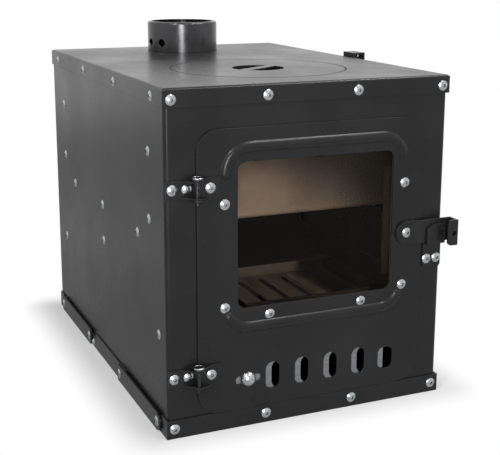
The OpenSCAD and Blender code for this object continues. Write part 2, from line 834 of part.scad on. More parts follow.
// Hinges, drawn round their pin: a leaf on the body nests inside a leaf on the door
eye_r = eye_d / 2;
leaf_half = hinge_h / 2 - sheet - slip;
frame_neck = 13;
door_neck = 14;
frame_leaf_rivets = [7.4, 20.8];
door_leaf_rivet = 13.8;
door_leaf_y = door_gap + sheet;
leaf_gap = 1;
door_leaf_root = hinge_side + leaf_gap;

module eye_plate(z0, root0, root1, root_y, left_angle, right_angle) {
    translate([0, 0, z0]) linear_extrude(sheet) difference() {
        union() {
            translate([0, -hinge_out]) circle(eye_r);
            polygon([[root0, root_y], [root1, root_y],
                [eye_r * cos(right_angle), eye_r * sin(right_angle) - hinge_out],
                [eye_r * cos(left_angle), eye_r * sin(left_angle) - hinge_out]]);
        }
        translate([0, -hinge_out]) circle(pin_d / 2 + pin_clear);
    }
}

module body_leaf() {
    color(black) difference() {
        union() {
            translate([-hinge_side - frame_leaf, -sheet, -leaf_half])
                cube([frame_leaf, sheet, 2 * leaf_half]);
            for (z = [-leaf_half, leaf_half - sheet])
                eye_plate(z, -hinge_side - frame_neck, -hinge_side, -sheet / 2, 200, 25);
        }
        body_leaf_bores();
    }
}

module body_leaf_bores() {
    for (x = frame_leaf_rivets) translate([-x, 0, 0]) rotate([90, 0, 0])
        cylinder(h = bore_depth, d = rivet_hole_d, center = true);
}

module door_side_leaf() {
    color(black) difference() {
        union() {
            translate([door_leaf_root, -door_leaf_y - sheet, -hinge_h / 2]) cube([door_leaf, sheet, hinge_h]);
            for (z = [-hinge_h / 2, hinge_h / 2 - sheet])
                eye_plate(z, door_leaf_root, hinge_side + door_neck, -door_leaf_y - sheet / 2, 155, -20);
        }
        door_leaf_bores();
    }
}

module door_leaf_bores() {
    translate([door_leaf_rivet, 0, 0]) rotate([90, 0, 0])
        cylinder(h = bore_depth, d = rivet_hole_d, center = true);
}

module hinge_pin() {
    color(zinc) translate([0, -hinge_out, 0]) {
        translate([0, 0, -hinge_h / 2 - pin_tail])
            cylinder(h = hinge_h + pin_tail + pin_head_h / 2, d = pin_d);
        translate([0, 0, hinge_h / 2]) cylinder(h = pin_head_h, d = eye_d);
    }
}

module hinge_body_leaf_upper() { on_front(pin_x, hinge_zs[1]) body_leaf(); }
module hinge_body_leaf_lower() { on_front(pin_x, hinge_zs[0]) body_leaf(); }
module hinge_pin_upper() { on_front(pin_x, hinge_zs[1]) hinge_pin(); }
module hinge_pin_lower() { on_front(pin_x, hinge_zs[0]) hinge_pin(); }
module hinge_door_leaf_upper() { on_front(pin_x, hinge_zs[1]) door_side_leaf(); }
module hinge_door_leaf_lower() { on_front(pin_x, hinge_zs[0]) door_side_leaf(); }
module oven_hinge_body_leaf_front() { on_oven_side(oven_hinge_ys[0], oven_pin_z) body_leaf(); }
module oven_hinge_body_leaf_rear() { on_oven_side(oven_hinge_ys[1], oven_pin_z) body_leaf(); }
module oven_hinge_pin_front() { on_oven_side(oven_hinge_ys[0], oven_pin_z) hinge_pin(); }
module oven_hinge_pin_rear() { on_oven_side(oven_hinge_ys[1], oven_pin_z) hinge_pin(); }
module oven_hinge_door_leaf_front() { on_oven_side(oven_hinge_ys[0], oven_pin_z) door_side_leaf(); }
module oven_hinge_door_leaf_rear() { on_oven_side(oven_hinge_ys[1], oven_pin_z) door_side_leaf(); }

// Rivets that hold the body together
module cooktop_rivets() {
    color(zinc) {
        for (x = along_x) {
            front_rivet(x, flange_rivet_z, skin, flange_grip);
            back_rivet(x, flange_rivet_z, skin, flange_grip);
        }
        for (side = [-1, 1], y = along_y) side_rivet(side, y, flange_rivet_z, skin, flange_grip);
    }
}

module skirt_rivets() {
    color(zinc) for (x = along_x) {
        front_rivet(x, skirt_rivet_z, skin, flange_grip);
        back_rivet(x, skirt_rivet_z, skin, flange_grip);
    }
}

module side_rivets() {
    color(zinc) {
        for (p = oven_fixings) side_rivet(-1, p[0], p[1], 0, flange_grip);
        for (side = [-1, 1], p = fire_fixings)
            side_rivet(side, p[0], p[1], 0, p[0] == liner_y ? sheet + fit + liner_t : flange_grip);
    }
}

module fitting_rivet(x, z, out, grip) {
    translate([x, -out, z]) rotate([90, 0, 0]) rivet(grip);
}

module fitting_rivets() {
    color(zinc) {
        for (z = hinge_zs, x = frame_leaf_rivets) on_front(pin_x, z) fitting_rivet(-x, 0, sheet, two_sheets);
        for (y = oven_hinge_ys, x = frame_leaf_rivets)
            on_oven_side(y, oven_pin_z) fitting_rivet(-x, 0, sheet, two_sheets);
        for (p = front_keeper_rivets) on_front(latch_x, latch_z)
            fitting_rivet(keeper_from_pivot + p[0], p[1], sheet, two_sheets);
        for (p = oven_keeper_rivets) on_oven_side(oven_latch_y, oven_latch_z)
            fitting_rivet(oven_keeper_x + p[0], p[1], skin + sheet, sheet + flange_grip);
    }
}

// Legs, folded along the skirt, on stiff pivots
leg_out = skin + slip + strip_t;
leg_tip_r = 2;

module leg(side, end) {
    y0 = leg_pivot_y(end);
    y1 = leg_end_y(end);
    tip = y1 - end * leg_tip;
    x0 = side * (stove_w / 2 + slip + strip_t / 2) - strip_t / 2;
    color(black) difference() {
        side_sheet(x0, strip_t) {
            translate([y0, leg_z]) circle(leg_w / 2);
            translate([min(y0, y1), leg_z - leg_w / 2]) square([leg_l, leg_w]);
            rounded(min(tip, y1 + end * leg_w), leg_z - leg_w / 2, max(tip, y1 + end * leg_w),
                leg_z + leg_w / 2, leg_tip_r);
        }
        for (y = [y0, y1]) side_bore(side, y, leg_z, rivet_hole_d);
    }
}

module leg_rivet(side, end) {
    color(zinc) side_rivet(side, leg_end_y(end), leg_z, leg_out, strip_t);
}

module leg_front_left() { leg(-1, -1); }
module leg_rear_left() { leg(-1, 1); }
module leg_front_right() { leg(1, -1); }
module leg_rear_right() { leg(1, 1); }
module leg_rivet_front_left() { leg_rivet(-1, -1); }
module leg_rivet_rear_left() { leg_rivet(-1, 1); }
module leg_rivet_front_right() { leg_rivet(1, -1); }
module leg_rivet_rear_right() { leg_rivet(1, 1); }

module leg_pivots() {
    color(zinc) for (side = [-1, 1], end = leg_ends)
        side_rivet(side, leg_pivot_y(end), leg_z, leg_out, strip_t + slip + flange_grip);
}

module leg_stops() {
    stop_h = stop_d / 4;
    stop_r = (pow(stop_d / 2, 2) + pow(stop_h, 2)) / (2 * stop_h);
    color(zinc) for (side = [-1, 1])
        translate([side * stove_w / 2, stop_y, stop_z]) rotate([0, side * 90, 0]) union() {
            intersection() {
                translate([0, 0, stop_h - stop_r]) sphere(stop_r);
                cylinder(h = stop_h, d = stop_d);
            }
            translate([0, 0, -flange_grip]) cylinder(h = flange_grip, d = rivet_d);
        }
}

// Fire door with its window, its pressed bead and the air slots
slot_x = door_x0 + slot_first;
knob_x = slot_x - knob_from_slot;
end_slot_x = slot_x + (slots - 1) * slot_pitch;
guide_hole_gap = 15;
guide_hole_x = end_slot_x + slot_w / 2 + guide_hole_gap;
guide_hole_w = 15.8;
guide_hole_h = 21.7;
guide_hole_drop = 12.3;
guide_hole_z = slot_z - guide_hole_drop;
guide_hole_r = 6;

// Rivets round the window: three pairs, left, below and right of it
pane_rivet_left = 26.4;
pane_rivet_right = 13;
pane_rivet_up = 2.5;
pane_rivet_below = 8.5;
pane_rivet_left_down = 36.8;
pane_rivet_right_down = 32;
pane_rivet_low_left = 31.8;
pane_rivet_low_right = 31.3;
window_rivets = [
    [door_x0 + pane_rivet_left, window_z0 + pane_rivet_up],
    [door_x0 + pane_rivet_left, window_z1 - pane_rivet_left_down],
    [window_x0 + pane_rivet_low_left, window_z0 - pane_rivet_below],
    [window_x1 - pane_rivet_low_right, window_z0 - pane_rivet_below],
    [window_x1 + pane_rivet_right, window_z0 + pane_rivet_up],
    [window_x1 + pane_rivet_right, window_z1 - pane_rivet_right_down]];

module fire_door() {
    color(black) difference() {
        union() {
            front_sheet(door_y, sheet) rounded(door_x0, door_z0, door_x1, door_z1, door_corner_r);
            bead(bead_big_r, -sheet / 2);
        }
        bead(bead_big_r - sheet, -sheet - over);
        front_sheet(door_y + over, bore_depth) {
            rounded(window_x0, window_z0, window_x1, window_z1, window_corner_r);
            for (i = [0 : slots - 1]) obround(slot_x + i * slot_pitch, slot_z, slot_w, slot_h);
            obround(knob_x, slot_z, knob_slot_w, knob_slot_h);
            rounded(guide_hole_x, guide_hole_z, guide_hole_x + guide_hole_w, guide_hole_z + guide_hole_h,
                guide_hole_r);
        }
        for (p = window_rivets) front_bore(p[0], p[1], rivet_hole_d);
        front_bore(latch_x, latch_z, rivet_hole_d);
        for (z = hinge_zs) on_front(pin_x, z) door_leaf_bores();
    }
}

// The bead's two runs: each is a round ridge, and its groove behind is cut the same way
bead_big_r = (pow(bead_w / 2, 2) + pow(bead_h, 2)) / (2 * bead_h);
bead_x0 = door_x0 + bead_left;
bead_x1 = door_x1 - bead_right;
bead_z0 = door_z0 + bead_bottom;
bead_z1 = door_z1 - bead_top;
bead_low_turn = 58;
bead_left_turn = 90;
bead_right_turn = 72;
// Hairline left between the bead's straights, corners and ends
bead_split = 0.02;

module bead_profile(r, low) {
    intersection() {
        translate([0, bead_h - bead_big_r]) circle(r);
        translate([-bead_w, low]) square(2 * bead_w);
    }
}

module bead(r, low) {
    c = bead_corner_r;
    // Each corner: its middle, where its arc starts, how far it turns, and its free end
    corners = [
        [bead_x0 + c, bead_z0 + c, 270 - bead_low_turn, bead_low_turn, 0],
        [bead_x1 - c, bead_z0 + c, 270, bead_low_turn, 1],
        [bead_x0 + c, bead_z1 - c, 90, bead_left_turn, 1],
        [bead_x1 - c, bead_z1 - c, 90 - bead_right_turn, bead_right_turn, 0]];
    translate([0, door_y - sheet, 0]) rotate([90, 0, 0]) {
        for (y = [bead_z0, bead_z1]) translate([bead_x0 + c + bead_split, y, 0]) rotate([90, 0, 90])
            linear_extrude(bead_x1 - bead_x0 - 2 * (c + bead_split)) bead_profile(r, low);
        for (k = corners) translate([k[0], k[1], 0]) {
            rotate(k[2]) rotate_extrude(angle = k[3]) translate([c, 0]) bead_profile(r, low);
            rotate(k[2] + k[4] * k[3]) translate([c, (2 * k[4] - 1) * bead_split, 0]) rotate(180 * (1 - k[4]))
                rotate_extrude(angle = 180) intersection() {
                    bead_profile(r, low);
                    translate([0, -bead_w]) square(2 * bead_w);
                }
        }
    }
}

// Glass on a fibre tape, held by three stepped strips
glass_lap = 4;
tape_edge = 0.5;
glass_x0 = window_x0 - glass_lap;
glass_x1 = window_x1 + glass_lap;
glass_z0 = window_z0 - glass_lap;
glass_z1 = window_z1 + glass_lap;
glass_y = door_y + tape_t;
strip_y = glass_y + glass_t + fit;
strip_foot = 13;
lip_start = 13.5;
left_strip_down = 24;
left_lip = 1.4;
right_strip_down = 17.6;
right_lip = 9.5;
low_strip_left = 11.4;
low_strip_right = 18.5;
low_lip = 5.5;

module window_tape() {
    color("#b9b2a4") front_sheet(glass_y, tape_t) difference() {
        rounded(glass_x0, glass_z0, glass_x1, glass_z1, window_corner_r);
        rounded(window_x0 - tape_edge, window_z0 - tape_edge, window_x1 + tape_edge, window_z1 + tape_edge,
            window_corner_r);
    }
}

module window_glass() {
    color("#8f8f8a", 0.4) front_sheet(glass_y + glass_t, glass_t)
        rounded(glass_x0, glass_z0, glass_x1, glass_z1, window_corner_r / 2);
}

// One stepped strip: its foot lies on the door to the left of x = 0, its lip laps the glass
module retainer(z0, z1, lip, lip_z0) {
    depth = strip_y - door_y;
    translate([-strip_foot, door_y, z0]) cube([strip_foot, sheet, z1 - z0]);
    translate([-sheet, door_y, z0]) cube([sheet, depth, z1 - z0]);
    translate([-sheet, strip_y, lip_z0]) cube([sheet + lip, sheet, z1 - lip_z0]);
}

module glass_retainers() {
    color(black) difference() {
        union() {
            translate([glass_x0 - fit, 0, 0])
                retainer(glass_z0, window_z1 - left_strip_down, left_lip, window_z0 + lip_start);
            translate([glass_x1 + fit, 0, 0]) mirror([1, 0, 0])
                retainer(glass_z0, window_z1 - right_strip_down, right_lip, window_z0 + lip_start);
            translate([0, 0, glass_z0 - fit]) rotate([0, -90, 0])
                retainer(low_strip_right - window_x1, -window_x0 - low_strip_left, low_lip,
                    low_strip_right - window_x1);
        }
        for (p = window_rivets) front_bore(p[0], p[1], rivet_hole_d);
    }
}

module door_rivets() {
    color(zinc) {
        for (p = window_rivets) front_rivet(p[0], p[1], door_gap + sheet, two_sheets);
        for (z = hinge_zs) on_front(pin_x, z)
            fitting_rivet(door_leaf_rivet, 0, door_leaf_y + sheet, two_sheets);
    }
}

// Air slide behind the door, its guide and its knob
slide_y = door_y + fit;
slide_z0 = slot_z - slide_h / 2;
slide_z1 = slot_z + slide_h / 2;
slide_tail = 12;
slide_nose = 6.4;
slide_x0 = knob_x - slide_tail;
slide_x1 = guide_hole_x + slide_nose;
slide_r = 1;
slide_lip = 4;
guide_w = 8;
guide_x = (end_slot_x + slot_w / 2 + guide_hole_x) / 2 - guide_w / 2;
guide_foot = 3.6;

module air_slide() {
    color(zinc) difference() {
        union() {
            front_sheet(slide_y + slide_t, slide_t) rounded(slide_x0, slide_z0, slide_x1, slide_z1, slide_r);
            translate([slide_x1 - slide_t, slide_y, slide_z0 + slide_r])
                cube([slide_t, slide_lip, slide_h - 2 * slide_r]);
        }
        front_sheet(slide_y + bore_depth / 2, bore_depth) for (i = [0 : slots - 1])
            obround(slot_x + slide_offset + i * slot_pitch, slot_z, slot_w, slot_h);
        front_bore(knob_x, slot_z, knob_stud_d + 2 * pin_clear);
    }
}

module slide_guide() {
    web_y = slide_y + slide_t + slip;
    color(black) side_sheet(guide_x, guide_w) {
        for (z = [slide_z0 - slip - guide_foot, slide_z1 + slip])
            translate([door_y, z]) square([slide_t, guide_foot]);
        for (z = [slide_z0 - slip - slide_t, slide_z1 + slip])
            translate([door_y, z]) square([web_y + slide_t - door_y, slide_t]);
        translate([web_y, slide_z0 - slip - slide_t]) square([slide_t, slide_h + 2 * (slip + slide_t)]);
    }
}

knob_h = 5;
knob_washer_d = 10;
knob_washer_t = 1;

module air_knob() {
    front = door_gap + sheet + slip;
    knob_r = (pow(knob_d / 2, 2) + pow(knob_h, 2)) / (2 * knob_h);
    stud = front + fit - door_gap + slide_t + knob_washer_t;
    color(zinc) on_front(knob_x, slot_z) translate([0, -front, 0]) rotate([90, 0, 0]) union() {
        intersection() {
            translate([0, 0, knob_h - knob_r]) sphere(knob_r);
            cylinder(h = knob_h, d = knob_d);
        }
        translate([0, 0, -stud]) cylinder(h = stud + slip, d = knob_stud_d);
        translate([0, 0, -stud]) cylinder(h = knob_washer_t, d = knob_washer_d);
    }
}

// Latch levers, their pivots and the oven door
lever_y = door_gap + sheet + slip;
joggle_start = 8.5;
joggle_end = 1.5;
joggle = [latch_inset - joggle_start, latch_inset - joggle_end];
hook_drop = 1;
hook_corner_r = 4;

module lever() {
    y1 = lever_y + strip_t;
    r1 = lever_rest_y + strip_t;
    color(black) difference() {
        union() {
            translate([0, -lever_y, 0]) rotate([90, 0, 0]) cylinder(h = strip_t, d = lever_w);
            translate([0, 0, -lever_w / 2]) linear_extrude(lever_w) polygon([
                [0, -lever_y], [joggle[0], -lever_y], [joggle[1], -lever_rest_y],
                [lever_reach, -lever_rest_y], [lever_reach, -hook_out],
                [lever_reach - strip_t, -hook_out], [lever_reach - strip_t, -r1],
                [joggle[1], -r1], [joggle[0], -y1], [0, -y1]]);
            front_sheet(strip_t - hook_out, strip_t) {
                rounded(lever_reach - hook_return, -hook_h / 2 - hook_drop, lever_reach,
                    hook_h / 2 - hook_drop, hook_corner_r);
                translate([lever_reach - hook_corner_r, -hook_h / 2 - hook_drop])
                    square([hook_corner_r, hook_h]);
            }
        }
        rotate([90, 0, 0]) cylinder(h = bore_depth, d = rivet_hole_d, center = true);
        translate([lever_reach - lock_hole_inset, -hook_out, lock_hole_z]) rotate([90, 0, 0])
            cylinder(h = bore_depth, d = hook_hole_d, center = true);
    }
}

module lever_pivot() {
    color(zinc) fitting_rivet(0, 0, lever_y + strip_t, strip_t + slip + sheet);
}

module latch_lever() { on_front(latch_x, latch_z) lever(); }
module latch_pivot() { on_front(latch_x, latch_z) lever_pivot(); }
module oven_latch_lever() { on_oven_side(oven_latch_y, oven_latch_z) lever(); }
module oven_latch_pivot() { on_oven_side(oven_latch_y, oven_latch_z) lever_pivot(); }

module oven_door() {
    color(black) difference() {
        side_sheet(face_x + door_gap, sheet)
            rounded(oven_door_y0, oven_door_z, oven_door_y1, oven_door_z1, oven_door_r);
        for (y = oven_hinge_ys) on_oven_side(y, oven_pin_z) door_leaf_bores();
        side_bore(1, oven_latch_y, oven_latch_z, rivet_hole_d);
    }
}

module oven_door_rivets() {
    color(zinc) for (y = oven_hinge_ys) on_oven_side(y, oven_pin_z)
        fitting_rivet(door_leaf_rivet, 0, door_leaf_y + sheet, two_sheets);
}

base_tray();
body_shell();
back_panel();
cooktop();
lid_seat();
flue_collar();
oven_box();
floor_pan();
fire_back();
side_liners();
grate();
front_keeper();
oven_keeper();
hinge_body_leaf_upper();
hinge_body_leaf_lower();
hinge_pin_upper();
hinge_pin_lower();
oven_hinge_body_leaf_front();
oven_hinge_body_leaf_rear();
oven_hinge_pin_front();
oven_hinge_pin_rear();
cooktop_rivets();
skirt_rivets();
side_rivets();
fitting_rivets();
leg_pivots();
leg_stops();
fire_door();
window_tape();
window_glass();
glass_retainers();
slide_guide();
door_rivets();
hinge_door_leaf_upper();
hinge_door_leaf_lower();
latch_pivot();
latch_lever();
air_slide();
air_knob();
hob_lid();
lid_bar();
oven_door();
oven_hinge_door_leaf_front();
oven_hinge_door_leaf_rear();
oven_door_rivets();
oven_latch_pivot();
oven_latch_lever();
leg_front_left();
leg_rear_left();
leg_front_right();
leg_rear_right();
leg_rivet_front_left();
leg_rivet_rear_left();
leg_rivet_front_right();
leg_rivet_rear_right();
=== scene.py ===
"""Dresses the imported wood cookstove: its finishes, a few turned pieces, and the studio round it."""

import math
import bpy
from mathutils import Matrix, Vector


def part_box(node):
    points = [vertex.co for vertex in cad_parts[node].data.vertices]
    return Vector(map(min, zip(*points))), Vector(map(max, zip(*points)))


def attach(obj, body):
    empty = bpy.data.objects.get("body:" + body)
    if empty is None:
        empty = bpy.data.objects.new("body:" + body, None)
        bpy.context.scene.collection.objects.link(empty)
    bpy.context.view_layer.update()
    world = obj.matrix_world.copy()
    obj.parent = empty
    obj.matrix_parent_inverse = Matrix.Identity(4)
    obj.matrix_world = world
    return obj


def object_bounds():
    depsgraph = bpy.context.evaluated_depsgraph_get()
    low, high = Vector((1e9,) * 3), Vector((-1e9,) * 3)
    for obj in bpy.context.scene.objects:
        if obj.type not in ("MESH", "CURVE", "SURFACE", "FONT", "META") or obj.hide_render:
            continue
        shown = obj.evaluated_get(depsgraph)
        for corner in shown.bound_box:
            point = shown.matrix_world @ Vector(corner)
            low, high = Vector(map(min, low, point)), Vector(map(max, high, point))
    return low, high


bl_info = {
    "name": "Wood cookstove",
    "version": (1, 0, 0),
    "blender": (4, 5, 0),
    "location": "3D View > Sidebar > Stove",
    "description": "Finishes and studio for a packed camping cookstove with an oven",
    "category": "Object",
}

import bmesh
import bpy
import numpy as np
from bpy.props import FloatProperty, FloatVectorProperty, IntProperty, PointerProperty
from mathutils import Quaternion, Vector

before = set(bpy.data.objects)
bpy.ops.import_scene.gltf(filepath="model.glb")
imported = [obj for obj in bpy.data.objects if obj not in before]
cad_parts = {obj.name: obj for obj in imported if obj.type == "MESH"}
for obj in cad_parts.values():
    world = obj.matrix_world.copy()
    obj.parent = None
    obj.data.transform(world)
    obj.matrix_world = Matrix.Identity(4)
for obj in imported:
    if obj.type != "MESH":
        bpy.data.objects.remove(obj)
CAD_BOX = [list(corner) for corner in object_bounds()]

MM = 0.001
# Points nearer to each other than this count as one
MICRON = 1e-6
TURN = 2 * math.pi

# Nodes by the finish they carry
PAINTED = [
    "base_tray", "body_shell", "back_panel", "cooktop", "lid_seat", "fire_door", "oven_door",
    "hob_lid", "lid_bar", "front_keeper", "oven_keeper", "latch_lever", "oven_latch_lever", "slide_guide",
    "hinge_body_leaf_upper", "hinge_body_leaf_lower", "hinge_door_leaf_upper", "hinge_door_leaf_lower",
    "oven_hinge_body_leaf_front", "oven_hinge_body_leaf_rear", "oven_hinge_door_leaf_front",
    "oven_hinge_door_leaf_rear", "leg_front_left", "leg_rear_left", "leg_front_right",
    "leg_rear_right",
]
COLLAR = ["flue_collar"]
BURNT = ["oven_box"]
RIBBED = ["grate"]
SOOTED = ["floor_pan", "fire_back", "side_liners", "glass_retainers"]
# The rivets with an open recess in the head, by the body they are on
RIVETS = {
    "stove_body": ["cooktop_rivets", "skirt_rivets", "side_rivets", "fitting_rivets", "leg_pivots"],
    "fire_door": ["door_rivets", "latch_pivot"],
    "oven_door": ["oven_door_rivets", "oven_latch_pivot"],
    "leg_front_left": ["leg_rivet_front_left"],
    "leg_rear_left": ["leg_rivet_rear_left"],
    "leg_front_right": ["leg_rivet_front_right"],
    "leg_rear_right": ["leg_rivet_rear_right"],
}
PLATED = [name for names in RIVETS.values() for name in names] + ["leg_stops", "air_knob"]
BLACKENED = ["hinge_pin_upper", "hinge_pin_lower", "oven_hinge_pin_front", "oven_hinge_pin_rear"]
SLIDE = ["air_slide"]
GLAZED = ["window_glass"]
TAPED = ["window_tape"]

# The values between which a noise texture mostly lies, as a Map Range node takes them
NOISE_SPREAD = {"From_Min": 0.3, "From_Max": 0.7}
# How far a wave texture of scale 1 turns in one unit of length
WAVE_RADIANS = 20


def linear(hex_colour):
    """An sRGB hex colour as the linear colour that a socket takes."""
    parts = [int(hex_colour[i:i + 2], 16) / 255 for i in (1, 3, 5)]
    return tuple(c / 12.92 if c <= 0.04045 else ((c + 0.055) / 1.055) ** 2.4 for c in parts) + (1.0,)


def shown_colour(name, description, hex_colour):
    """A colour of the panel, which starts as this sRGB hex colour."""
    return FloatVectorProperty(
        name=name, description=description, default=linear(hex_colour), size=4, min=0.0, max=1.0,
        subtype="COLOR")


def add(owner, kind, links=None, stops=(), **settings):
    """Adds one node to a material or world. A setting is a property or an input by name, stops are a ramp's
    (position, colour), and a link goes from another node, or one of its outputs, to an input by name or
    number."""
    node = owner.node_tree.nodes.new(kind)

    def entry(name):
        return node.inputs[name] if isinstance(name, int) else next(
            one for one in node.inputs if one.name == name and one.enabled)

    for name, value in settings.items():
        if hasattr(node, name):
            setattr(node, name, value)
        else:
            entry(name.replace("_", " ")).default_value = value
    for name, source in (links or {}).items():
        if isinstance(source, bpy.types.Node):
            source = next(one for one in source.outputs if one.enabled)
        owner.node_tree.links.new(source, entry(name))
    if stops:
        elements = node.color_ramp.elements
        while len(elements) < len(stops):
            elements.new(0.5)
        for element, (position, colour) in zip(elements, stops):
            element.position, element.color = position, colour
    return node


def blank(name):
    """A new node material and its object coordinates, which are the stove's own metres."""
    material = bpy.data.materials.new(name)
    material.use_nodes = True
    material.node_tree.nodes.clear()
    return material, add(material, "ShaderNodeTexCoord").outputs["Object"]


def per_metre(size_mm):
    """The texture scale that gives features about this many millimetres apart."""
    return 1 / (size_mm * MM)


def threads(size_mm):
    """The wave texture's scale that gives one band in this many millimetres."""
    return TURN / (WAVE_RADIANS * size_mm * MM)


def heat_paint(finish):
    """Satin silicone heat paint, sprayed on sheet steel: near black, an even sheen, a fine spray grain and
    slow cloudy changes of gloss, as stoved paint has."""
    material, place = blank("satin_heat_paint")
    cloud = add(material, "ShaderNodeTexNoise", {"Vector": place}, Scale=per_metre(70), Detail=3.0,
                Roughness=0.5)
    # The real grain is about 0.15 mm apart. It is drawn wider, so that it shows at the picture's size
    grain = add(material, "ShaderNodeTexNoise", {"Vector": place}, Scale=per_metre(finish.grain_mm),
                Detail=2.0, Roughness=0.6)
    colour = add(material, "ShaderNodeValToRGB", {"Fac": cloud}, stops=[
        (0.3, finish.paint_dark), (0.5, finish.paint_middle), (0.72, finish.paint_light)])
    gloss = add(material, "ShaderNodeMapRange", {"Value": cloud}, **NOISE_SPREAD,
                To_Min=finish.paint_roughness - 0.04, To_Max=finish.paint_roughness + 0.05)
    # Every sheet edge is slightly round under its paint, which draws the thin light line along it
    edge = add(material, "ShaderNodeBevel", samples=6, Radius=finish.edge_mm * MM)
    relief = add(material, "ShaderNodeBump", {"Height": grain, "Normal": edge}, Strength=0.10,
                 Distance=0.2 * MM)
    body = add(material, "ShaderNodeBsdfPrincipled", {
        "Base Color": colour, "Roughness": gloss, "Normal": relief}, IOR=1.33)
    add(material, "ShaderNodeOutputMaterial", {"Surface": body})
    return material


def flake_paint(finish):
    """Graphite heat paint on the rolled collar: dark metal flakes that give a long soft highlight."""
    material, place = blank("graphite_heat_paint")
    cloud = add(material, "ShaderNodeTexNoise", {"Vector": place}, Scale=per_metre(12), Detail=3.0,
                Roughness=0.5)
    colour = add(material, "ShaderNodeValToRGB", {"Fac": cloud}, stops=[
        (0.3, linear("#434344")), (0.7, linear("#4f4f51"))])
    gloss = add(material, "ShaderNodeMapRange", {"Value": cloud}, **NOISE_SPREAD,
                To_Min=finish.paint_roughness - 0.08, To_Max=finish.paint_roughness - 0.02)
    body = add(material, "ShaderNodeBsdfPrincipled", {"Base Color": colour, "Roughness": gloss},
               Metallic=1.0)
    add(material, "ShaderNodeOutputMaterial", {"Surface": body})
    return material


def burnt_steel(name, shade_slope, unshaded_at, sooted, dullness):
    """Bare mild steel browned by fire: a warm grey-brown, half bright scale, with painted shade in a soot
    colour that deepens smoothly along the shade slope, from none at unshaded_at to full at sooted."""
    material, place = blank(name)
    drift = add(material, "ShaderNodeTexNoise", {"Vector": place}, Scale=per_metre(55), Detail=5.0,
                Roughness=0.6)
    scale = add(material, "ShaderNodeTexNoise", {"Vector": place}, Scale=per_metre(2.5), Detail=3.0,
                Roughness=0.7)
    browned = add(material, "ShaderNodeValToRGB", {"Fac": drift}, stops=[
        (0.3, linear("#796f67")), (0.52, linear("#90857b")), (0.75, linear("#a2978e"))])
    # Painted shade: the soot-coloured darkening along the slope stands for light falling off across the part
    along = add(material, "ShaderNodeVectorMath", {0: place}, operation="DOT_PRODUCT")
    along.inputs[1].default_value = shade_slope
    soot = add(material, "ShaderNodeMapRange", {"Value": along.outputs["Value"]}, From_Min=unshaded_at,
               From_Max=sooted, interpolation_type="SMOOTHSTEP")
    colour = add(material, "ShaderNodeMix", {"Factor": soot, "A": browned}, data_type="RGBA",
                 B=linear("#1f1d1b"))
    gloss = add(material, "ShaderNodeMapRange", {"Value": scale}, **NOISE_SPREAD, To_Min=dullness - 0.1,
                To_Max=dullness + 0.1)
    relief = add(material, "ShaderNodeBump", {"Height": scale}, Strength=0.05, Distance=0.3 * MM)
    body = add(material, "ShaderNodeBsdfPrincipled", {
        "Base Color": colour, "Roughness": gloss, "Normal": relief}, Metallic=0.35)
    add(material, "ShaderNodeOutputMaterial", {"Surface": body})
    return material


def sooted_steel():
    """Steel under a film of soot: nearly black with a brown cast, dull, in soft drifts."""
    material, place = blank("sooted_steel")
    drift = add(material, "ShaderNodeTexNoise", {"Vector": place}, Scale=per_metre(45), Detail=5.0,
                Roughness=0.6)
    colour = add(material, "ShaderNodeValToRGB", {"Fac": drift}, stops=[
        (0.3, linear("#16140f")), (0.55, linear("#1d1a15")), (0.8, linear("#2b251d"))])
    gloss = add(material, "ShaderNodeMapRange", {"Value": drift}, **NOISE_SPREAD, To_Min=0.55, To_Max=0.75)
    body = add(material, "ShaderNodeBsdfPrincipled", {"Base Color": colour, "Roughness": gloss},
               Specular_IOR_Level=0.3)
    add(material, "ShaderNodeOutputMaterial", {"Surface": body})
    return material


def dark_steel():
    """Blackened steel of hinge pins, and of rivet recesses as painted shade: a dark metal with a semi-bright,
    rubbed gloss.
    """
    material, place = blank("blackened_steel")
    rub = add(material, "ShaderNodeTexNoise", {"Vector": place}, Scale=per_metre(1.6), Detail=3.0,
              Roughness=0.6)
    colour = add(material, "ShaderNodeValToRGB", {"Fac": rub}, stops=[
        (0.35, linear("#28282a")), (0.65, linear("#4b4c4e"))])
    gloss = add(material, "ShaderNodeMapRange", {"Value": rub}, **NOISE_SPREAD, To_Min=0.28, To_Max=0.42)
    body = add(material, "ShaderNodeBsdfPrincipled", {"Base Color": colour, "Roughness": gloss},
               Metallic=1.0)
    add(material, "ShaderNodeOutputMaterial", {"Surface": body})
    return material


def bright_zinc():
    """Zinc-plated steel of rivets and knob: a bright metal with a soft uneven gloss from handling."""
    material, place = blank("bright_zinc_plate")
    bloom = add(material, "ShaderNodeTexNoise", {"Vector": place}, Scale=per_metre(3.0), Detail=3.0,
                Roughness=0.6)
    colour = add(material, "ShaderNodeValToRGB", {"Fac": bloom}, stops=[
        (0.3, linear("#9c9ea0")), (0.7, linear("#bcbebf"))])
    gloss = add(material, "ShaderNodeMapRange", {"Value": bloom}, **NOISE_SPREAD, To_Min=0.2, To_Max=0.3)
    body = add(material, "ShaderNodeBsdfPrincipled", {"Base Color": colour, "Roughness": gloss},
               Metallic=1.0)
    add(material, "ShaderNodeOutputMaterial", {"Surface": body})
    return material


